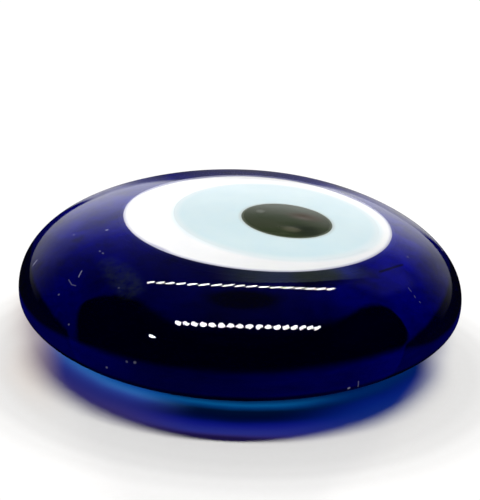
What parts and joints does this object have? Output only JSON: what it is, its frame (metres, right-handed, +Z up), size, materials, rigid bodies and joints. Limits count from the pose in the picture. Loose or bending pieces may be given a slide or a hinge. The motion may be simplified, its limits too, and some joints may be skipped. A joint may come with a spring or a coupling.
{
  "type": "evil eye ornament",
  "caption": "Low round glass charm made as an eye: a cobalt puck with white, pale blue and dark drops fused one inside another in its domed face, and a flat foot.",
  "frame": {"origin": "centre of the flat foot, on the surface the charm rests on", "axes": "+Z up through the thickness, out of the domed face; -Y towards the viewer of the reference view; +X to the viewer's right"},
  "size_m": [0.0688, 0.0717, 0.0159],
  "materials": {
    "cobalt_glass": "polished",
    "white_glass": "polished",
    "pale_blue_glass": "polished",
    "dark_glass": "polished"
  },
  "bodies": {
    "root": {"cobalt_glass_body": "cobalt_glass", "white_glass_layer": "white_glass", "pale_blue_glass_layer": "pale_blue_glass", "dark_pupil_drop": "dark_glass"}
  },
  "joints": []
}
